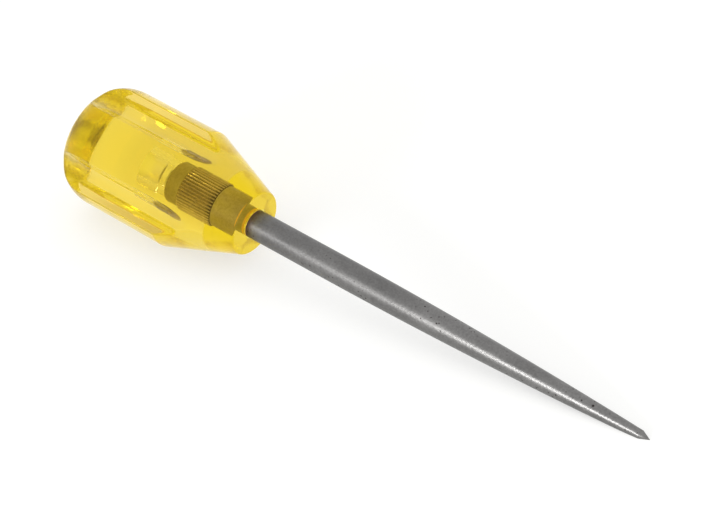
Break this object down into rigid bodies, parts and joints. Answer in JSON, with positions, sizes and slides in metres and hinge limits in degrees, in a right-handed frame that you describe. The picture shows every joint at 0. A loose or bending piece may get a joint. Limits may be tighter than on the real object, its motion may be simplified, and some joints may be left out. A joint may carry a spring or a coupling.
{
  "type": "scratch awl",
  "caption": "Hand awl with a clear amber fluted plastic handle and a round steel blade that draws in along one long taper to a sharp point.",
  "frame": {"origin": "centre of the flat face at the butt of the handle", "axes": "+X along the blade's axis towards the point, +Z out of the middle of one flute, +Y out of the middle of the next flute"},
  "size_m": [0.1862, 0.032, 0.032],
  "materials": {
    "amber_plastic": "clear moulded amber plastic, glossy with fine wear",
    "blade_steel": "round bar steel, dull and lightly worn"
  },
  "bodies": {
    "root": {"handle": "amber_plastic", "blade": "blade_steel"}
  },
  "joints": []
}
